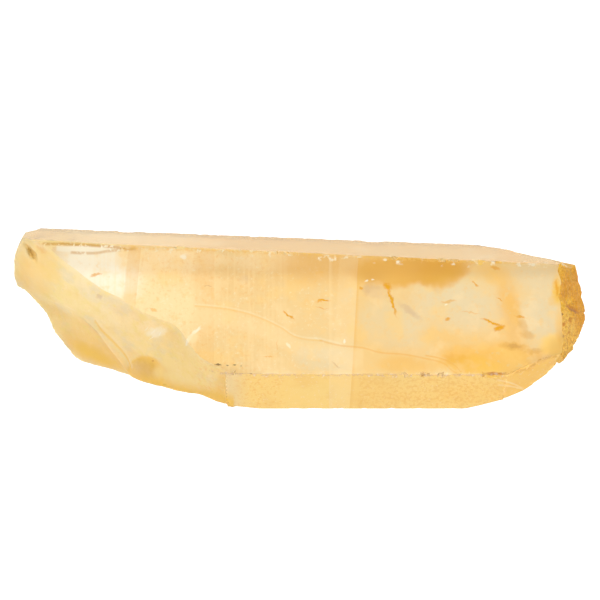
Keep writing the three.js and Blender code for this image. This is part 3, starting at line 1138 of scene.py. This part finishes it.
SEAMS = (
    Seam(Tone.SAFFRON, RIM_MM, 0.6, 0.9, 1.8),
    Seam(Tone.CREAM, FRACTURE_MM[:9], 0.6, 0.35, 1.2, drop_mm=1.4),
    # painted highlight just above the crack line
    Seam(Tone.WINDOW, FRACTURE_MM[:8], 0.03, 0.25, 0.25, drop_mm=-0.2),
    Seam(Tone.GOLD, FRACTURE_MM[:7], 0.02, 0.55, 0.2),
    Seam(Tone.AMBER, FRACTURE_MM[6:], 0.02, 0.55, 0.2),
    Seam(Tone.AMBER, ((17.5, 5.6), (19.8, 5.1), (21.2, 4.4), (22.2, 3.4)), 0.03, 0.6, 0.15),
    # pale chips along the top edge, with painted glints among them
    Seam(Tone.WINDOW, TOP_EDGE_MM, 0.2, 0.9, 0.5, Grain.PATCH, 0.56, 0.3),
    Seam(Tone.GOLD, TOP_EDGE_MM, 0.1, 0.6, 0.3, Grain.GRAIN, 0.45),
    Seam(Tone.ASH, LOWER_EDGE_MM, 0.06, 0.6, 0.2, Grain.GRAIN, 0.46),
    # pale chips along the lower edge, with painted glints among them
    Seam(Tone.WINDOW, LOWER_EDGE_MM, 0.15, 0.6, 0.4, Grain.GRAIN, 0.58),
    Seam(Tone.WINDOW, ((-34, 20.6), (-30, 20.45), (-25.5, 20.5)), 0.25, 0.8, 0.3),
    Seam(Tone.OCHRE, UPPER_RUST_MM, 0.05, 0.75, 0.3, Grain.GRAIN, 0.36),
    Seam(Tone.OCHRE, LOWER_RUST_MM, 0.04, 0.6, 0.3, Grain.GRAIN, 0.36),
    # painted highlight on the raised side of the ledge
    Seam(Tone.CREAM, FOLD_MM, 0.1, 0.35, 0.5, drop_mm=-0.6),
    # painted shade along the ledge line
    Seam(Tone.SAFFRON, FOLD_MM, 0.08, 0.6, 0.35),
    Seam(Tone.OCHRE, CORNER_EDGE_MM, 0.06, 0.7, 0.25, Grain.GRAIN, 0.42),
    Seam(Tone.CREAM, ((27.5, 2.2), (29.2, 1.8), (30.8, 1.1)), 0.03, 0.6, 0.14),
    Seam(Tone.CREAM, ((27.7, 1.5), (29.3, 1.3), (31, 0.9)), 0.03, 0.6, 0.14),
)


@dataclass
class QuartzFinish:
    """Clear golden quartz with milky clouds, growth bands and iron stains, and painted shade,
    highlights, glints and reflections.
    """

    transmission: float = 0.6
    ior: float = 1.544
    body_tone: Tone = Tone.HONEY
    depth_colour: tuple[float, float, float, float] = (0.95, 0.72, 0.32, 1)
    depth_density: float = 14
    streaks: tuple[float, float, float] = (2.6, 0.04, 0.06)
    streak_detail: float = 2.0
    plain_harshness: float = 0.5
    depth_squeeze: tuple[float, float, float] = (1, 0.35, 1)
    # painted shade in the frosted end's hollows and painted highlights on its ridges
    dips: tuple[HollowShading, ...] = (HollowShading(Tone.AMBER, 5.0, 0.5), HollowShading(Tone.WINDOW, -5.0, 0.2))
    grain_fineness: float = 3.0
    grain_detail: float = 4.0
    grain_height_m: float = 0.00012
    grain_strength: float = 0.6
    base_grain_share: float = 2.5
    seam_fade_mm: float = 0.4
    speck_contrast: float = 0.1
    least_rise_mm: float = 0.001
    cloud: bpy.types.NodeTree = field(init=False)
    band: bpy.types.NodeTree = field(init=False)
    slanted: bpy.types.NodeSocket = field(init=False)
    squeezed: bpy.types.NodeSocket = field(init=False)
    along: bpy.types.NodeSocket = field(init=False)
    up: bpy.types.NodeSocket = field(init=False)
    front: bpy.types.NodeSocket = field(init=False)
    edges: dict[Edge, bpy.types.NodeSocket] = field(init=False)
    grains: dict[Grain, bpy.types.NodeSocket] = field(init=False)
    base_grains: dict[Grain, bpy.types.NodeSocket] = field(init=False)

    def build(self) -> bpy.types.Material:
        """Makes the material."""
        material = bpy.data.materials.new("golden_quartz")
        material.use_nodes = True
        wiring = Wiring(material.node_tree)
        shader = material.node_tree.nodes["Principled BSDF"]
        shader.inputs["Transmission Weight"].default_value = self.transmission
        shader.inputs["IOR"].default_value = self.ior
        self.find_places(wiring)
        wiring.feed(shader.inputs["Base Color"], self.base_colour(wiring))
        wiring.feed(shader.inputs["Roughness"], self.layer(wiring, "roughness"))
        wiring.feed(shader.inputs["Normal"], self.relief(wiring))
        volume = wiring.add(
            "VolumeAbsorption", {"Color": self.depth_colour, "Density": self.depth_density}
        )
        output = material.node_tree.nodes["Material Output"]
        wiring.feed(output.inputs["Volume"], volume.outputs["Volume"])
        return material

    def find_places(self, wiring: Wiring) -> None:
        """Reads where each spot lies, and makes the fields that the layers share.

        Args:
            wiring: the material's wiring.
        """
        shared = SharedGroup()
        self.cloud, self.band = shared.cloud(), shared.band()
        place = wiring.add("TexCoord", {}).outputs["Object"]
        self.slanted = wiring.call(shared.slanted(), Place=place)
        wander = shared.wander()
        self.edges = {
            edge: wiring.call(
                wander, Place=self.slanted, Fineness=edge.value[0], Reach=edge.value[1]
            )
            for edge in Edge
        }
        split = wiring.add("SeparateXYZ", {0: self.slanted}).outputs
        self.along, self.up = split["X"], split["Z"]
        self.front = wiring.math("LESS_THAN", split["Y"], 0.0)
        self.grains = {
            grain: wiring.fractal(self.slanted, grain.value).outputs["Fac"] for grain in Grain
        }
        self.squeezed = wiring.stretch(self.slanted, self.depth_squeeze)
        self.base_grains = {
            grain: wiring.fractal(self.squeezed, grain.value).outputs["Fac"]
            for grain in (Grain.GRAIN, Grain.DUST)
        }

    def base_colour(self, wiring: Wiring) -> Any:
        """Lays the colours of the crystal one over another.

        Args:
            wiring: the material's wiring.

        Returns:
            The finished colour.
        """
        parts = {part: self.layer(wiring, part.value) for part in Part}
        colour: Any = self.body_tone.linear()
        colour = self.lay_wash(wiring, colour, TIP_UNDER)
        # two pale strips among these paint the left end of the reflection band under the top edge
        for item in CLEAR_CLOUDS + MILKY_CLOUDS:
            colour = self.lay_cloud(wiring, colour, item)
        colour = self.lay_wash(wiring, colour, TIP_OVER)
        for item in POINT_CLOUDS:
            colour = self.lay_cloud(wiring, colour, item, parts[Part.TIP])
        # face tones; the top face's is partly a painted grazing reflection
        for wash in FACE_WASHES:
            colour = self.lay_wash(wiring, colour, wash)
        colour = self.lay_cloud(wiring, colour, PALE_TOP, parts[Part.TOP])
        for item in SPECKLES:
            colour = self.lay_speckle(wiring, colour, item, self.grains[item.grain])
        # amber clouds, with the painted darker part of the reflection band under the top edge
        for item in AMBER_CLOUDS_AND_REFLECTION:
            colour = self.lay_cloud(wiring, colour, item, parts[Part.MAIN])
        for item in RIM_CLOUDS:
            colour = self.lay_cloud(wiring, colour, item, parts[Part.TIP])
        streaks = wiring.stretch(self.slanted, self.streaks)
        striae = wiring.fractal(streaks, 1.0, self.streak_detail, self.plain_harshness)
        colour = self.lay_speckle(wiring, colour, STRIAE, striae.outputs["Fac"])
        front_faces = wiring.math("ADD", parts[Part.MAIN], parts[Part.LOWER])
        colour = self.lay_bands(wiring, colour, front_faces)
        # painted shade in the frosted end's hollows, painted highlights on its ridges
        colour = self.lay_hollow_shading(wiring, colour, parts[Part.TIP])
        # small stains, specks and scratches, and painted glints
        for item in MARKS_AND_GLINTS:
            colour = self.lay_cloud(wiring, colour, item, self.front)
        # cracks, edges, chips and ledge lines, some of them painted highlights and shade
        for item in SEAMS:
            mask = self.seam_mask(wiring, item, colour)
            colour = self.lay(wiring, colour, item.tone, mask, item.strength)
        colour = self.lay_wash(wiring, colour, BASE_WASH)
        for item in BASE_CLOUDS:
            colour = self.lay_cloud(wiring, colour, item, parts[Part.BASE])
        for item in BASE_SPECKLES:
            colour = self.lay_speckle(wiring, colour, item, self.base_grains[item.grain])
        for item in BASE_MARKS:
            colour = self.lay_cloud(wiring, colour, item, parts[Part.BASE])
        return colour

    def lay_bands(self, wiring: Wiring, below: Any, faces: Any) -> Any:
        """Lays the growth bands over what is there already.

        Args:
            wiring: the material's wiring.
            below: the colour so far.
            faces: the part of the surface that they keep to.

        Returns:
            The new colour.
        """
        colour = below
        for item in BANDS:
            leaning = wiring.math("MULTIPLY_ADD", self.up, -item.lean, self.along)
            mask = wiring.call(
                self.band, Along=self.waiting(wiring, leaning, colour),
                Start=item.at_foot_mm(item.start_mm), End=item.at_foot_mm(item.end_mm),
                Soft_Start=item.soft_mm[0], Soft_End=item.soft_mm[1],
            )
            mask = wiring.math("MULTIPLY", mask, faces)
            colour = self.lay(wiring, colour, item.tone, mask, item.strength)
        return colour

    def lay_hollow_shading(self, wiring: Wiring, below: Any, tip: Any) -> Any:
        """Paints shade into the hollows of the frosted end and highlights onto its ridges.

        Args:
            wiring: the material's wiring.
            below: the colour so far.
            tip: where the frosted end is.

        Returns:
            The new colour.
        """
        colour = below
        hollow = self.layer(wiring, "hollow")
        for dip in self.dips:
            depth = wiring.math("MULTIPLY", hollow, dip.steepness, clamp=True)
            mask = wiring.math("MULTIPLY", depth, tip)
            colour = self.lay(wiring, colour, dip.tone, mask, dip.strength)
        return colour

    def waiting(self, wiring: Wiring, value: Any, below: Any) -> bpy.types.NodeSocket:
        """Ties a number by next to nothing to the colour so far.

        A long row of layers overflows the renderer's working memory if it starts on all of them at
        once, so each layer waits for the colour below it.

        Args:
            wiring: the material's wiring.
            value: the number.
            below: the colour so far.

        Returns:
            The same number.
        """
        return wiring.math("MULTIPLY_ADD", below, NEXT_TO_NOTHING, value)

    def lay_speckle(self, wiring: Wiring, below: Any, speckle: Speckle, field: Any) -> Any:
        """Lays one speckle over what is there already.

        Args:
            wiring: the material's wiring.
            below: the colour so far.
            speckle: what to lay.
            field: the noise that it follows.

        Returns:
            The new colour.
        """
        mask = wiring.ramp(self.waiting(wiring, field, below), *speckle.levels)
        mask = wiring.math("MULTIPLY", mask, self.layer(wiring, speckle.part.value))
        if speckle.span_mm:
            start, end = speckle.span_mm
            stretch = wiring.call(
                self.band, Along=self.along, Start=start, End=end, Soft_Start=speckle.fade_mm,
                Soft_End=speckle.fade_mm,
            )
            mask = wiring.math("MULTIPLY", mask, stretch)
        return self.lay(wiring, below, speckle.tone, mask, speckle.strength)

    def relief(self, wiring: Wiring) -> bpy.types.NodeSocket:
        """Gives the broken ends a fine grain.

        Args:
            wiring: the material's wiring.

        Returns:
            The bent normal.
        """
        base, tip = self.layer(wiring, Part.BASE.value), self.layer(wiring, Part.TIP.value)
        broken = wiring.math("MULTIPLY_ADD", base, self.base_grain_share, tip)
        grain = wiring.fractal(
            self.squeezed, self.grain_fineness, self.grain_detail, self.plain_harshness
        )
        height = wiring.math("MULTIPLY", grain.outputs["Fac"], broken)
        bump = wiring.add(
            "Bump",
            {"Height": height, "Distance": self.grain_height_m, "Strength": self.grain_strength},
        )
        return bump.outputs["Normal"]

    def lay_cloud(self, wiring: Wiring, below: Any, cloud: Cloud, limit: Any = 1.0) -> Any:
        """Lays one cloud over what is there already.

        Args:
            wiring: the material's wiring.
            below: the colour so far.
            cloud: what to lay.
            limit: the part of the surface that it keeps to.

        Returns:
            The new colour.
        """
        across, over = cloud.axes()
        return wiring.call(
            self.cloud, Below=below, Tone=cloud.tone.linear(), Strength=cloud.strength, Limit=limit,
            Place=self.edges[cloud.edge], Middle=(cloud.middle_mm[0], 0.0, cloud.middle_mm[1]),
            Across=across, Over=over, Core=cloud.core**2,
        )

    def seam_mask(self, wiring: Wiring, seam: Seam, below: Any) -> bpy.types.NodeSocket:
        """Masks a seam, whose height follows a curve along the crystal.

        Args:
            wiring: the material's wiring.
            seam: what to mask.
            below: the colour so far.

        Returns:
            The mask.
        """
        start, end = seam.points_mm[0][0], seam.points_mm[-1][0]
        low = min(point[1] for point in seam.points_mm)
        high = max(point[1] for point in seam.points_mm)
        along = self.waiting(wiring, self.along, below)
        share = wiring.add(
            "MapRange", {"Value": along, "From Min": start, "From Max": end}
        ).outputs["Result"]
        curve = wiring.add("FloatCurve", {"Value": share})
        line = curve.mapping.curves[0]
        span = max(high - low, self.least_rise_mm)
        for number, (x, height) in enumerate(seam.points_mm):
            spot = ((x - start) / (end - start), (height - low) / span)
            if number == 0:
                line.points[0].location = spot
            elif number == len(seam.points_mm) - 1:
                line.points[len(line.points) - 1].location = spot
            else:
                line.points.new(*spot)
        curve.mapping.update()
        height = wiring.math("MULTIPLY_ADD", curve.outputs["Value"], span, low - seam.drop_mm)
        away = wiring.math("SUBTRACT", self.up, height)
        across = wiring.call(
            self.band, Along=away, Start=-seam.half_width_mm, End=seam.half_width_mm,
            Soft_Start=seam.soft_mm, Soft_End=seam.soft_mm,
        )
        length = wiring.call(
            self.band, Along=along, Start=start, End=end, Soft_Start=self.seam_fade_mm,
            Soft_End=self.seam_fade_mm,
        )
        mask = wiring.math("MULTIPLY", wiring.math("MULTIPLY", across, length), self.front)
        if seam.grain:
            full = seam.level + self.speck_contrast
            specks = wiring.ramp(self.grains[seam.grain], seam.level, full)
            mask = wiring.math("MULTIPLY", mask, specks)
        return mask

    def layer(self, wiring: Wiring, name: str) -> bpy.types.NodeSocket:
        """Reads one of the mesh's own layers.

        Args:
            wiring: the material's wiring.
            name: the layer's name.

        Returns:
            Its value.
        """
        return wiring.add("Attribute", {}, attribute_name=name).outputs["Fac"]

    def lay_wash(self, wiring: Wiring, below: Any, wash: Wash) -> Any:
        """Lays one wash over what is there already.

        Args:
            wiring: the material's wiring.
            below: the colour so far.
            wash: what to lay.

        Returns:
            The new colour.
        """
        mask = self.layer(wiring, wash.part.value)
        return self.lay(wiring, below, wash.tone, mask, wash.strength)

    def lay(self, wiring: Wiring, below: Any, tone: Tone, mask: Any, strength: float) -> Any:
        """Lays a tone over what is there already.

        Args:
            wiring: the material's wiring.
            below: the colour so far.
            tone: the new tone.
            mask: where it goes.
            strength: how much of it shows there.

        Returns:
            The new colour.
        """
        return wiring.mix(wiring.math("MULTIPLY", mask, strength), below, tone.linear())


@dataclass(frozen=True)
class Lamp:
    """A square soft lamp that looks at the crystal."""

    name: str
    place_m: tuple[float, float, float]
    size_m: float
    power_w: float


@dataclass
class Studio:
    """The floor, the lights and the camera."""

    aim_mm: tuple[float, float, float] = (-0.1, -1.6, 14.02)
    distance_mm: float = 700
    lens_mm: float = 298.6
    sensor_mm: float = 36
    nearest_m: float = 0.01
    lamp_aim_m: tuple[float, float, float] = (0, 0, 0.01)
    floor_half_m: float = 3
    floor_tone: float = 0.12
    floor_roughness: float = 0.9
    floor_glow: float = 1.2
    world_strength: float = 0.6
    light_bounces: int = 5
    diffuse_bounces: int = 2
    lamps: tuple[Lamp, ...] = (
        Lamp("key", (-0.44, -0.38, 0.57), 0.5, 3.65),
        Lamp("fill", (0.5, -0.2, 0.4), 0.5, 1.5),
        Lamp("back", (0, 0.6, 0.38), 0.45, 0.32),
    )

    def make_floor(self) -> bpy.types.Object:
        """Makes a plain pale floor that glows like a light table."""
        work = bmesh.new()
        bmesh.ops.create_grid(work, x_segments=1, y_segments=1, size=self.floor_half_m)
        mesh = bpy.data.meshes.new("floor")
        work.to_mesh(mesh)
        work.free()
        material = bpy.data.materials.new("pale_floor")
        material.use_nodes = True
        shader = material.node_tree.nodes["Principled BSDF"]
        shader.inputs["Base Color"].default_value = (*[self.floor_tone] * 3, 1)
        shader.inputs["Roughness"].default_value = self.floor_roughness
        shader.inputs["Emission Color"].default_value = (1, 1, 1, 1)
        shader.inputs["Emission Strength"].default_value = self.floor_glow
        mesh.materials.append(material)
        floor = put_in_scene("floor", mesh)
        return floor

    def make_world(self) -> None:
        """Makes even white surroundings."""
        world = bpy.data.worlds.new("studio")
        world.use_nodes = True
        background = world.node_tree.nodes["Background"]
        background.inputs["Color"].default_value = (1, 1, 1, 1)
        background.inputs["Strength"].default_value = self.world_strength
        bpy.context.scene.world = world

    def make_camera(self) -> bpy.types.Object:
        """Makes a long lens that looks down on the crystal a little, from the front."""
        data = bpy.data.cameras.new("camera")
        data.lens = self.lens_mm
        data.sensor_width = self.sensor_mm
        data.clip_start = self.nearest_m
        camera = put_in_scene("camera", data)
        rise = math.radians(SLANT_DEG)
        aim = Vector(self.aim_mm) * MM
        camera.location = aim + Vector((0, -math.cos(rise), math.sin(rise))) * self.distance_mm * MM
        camera.rotation_euler = (math.radians(90) - rise, 0, 0)
        bpy.context.scene.camera = camera
        return camera

    def make_lights(self) -> None:
        """Makes the soft lamps."""
        for lamp in self.lamps:
            data = bpy.data.lights.new(lamp.name, "AREA")
            data.size = lamp.size_m
            data.energy = lamp.power_w
            stand = put_in_scene(lamp.name, data)
            stand.location = lamp.place_m
            sight = Vector(self.lamp_aim_m) - Vector(lamp.place_m)
            stand.rotation_euler = sight.to_track_quat("-Z", "Y").to_euler()

    def build(self) -> None:
        """Sets up the whole studio."""
        self.make_floor()
        self.make_world()
        self.make_lights()
        self.make_camera()
        scene = bpy.context.scene
        scene.view_settings.view_transform = "Standard"
        scene.cycles.max_bounces = self.light_bounces
        scene.cycles.transmission_bounces = self.light_bounces
        scene.cycles.glossy_bounces = self.light_bounces
        scene.cycles.diffuse_bounces = self.diffuse_bounces
        log.info("studio: floor, %d lamps and camera", len(self.lamps))


def main() -> None:
    """Builds every piece in order."""
    logging.basicConfig(level=logging.INFO)
    CrystalBody().build()
    Studio().build()


if __name__ == "__main__":
    main()
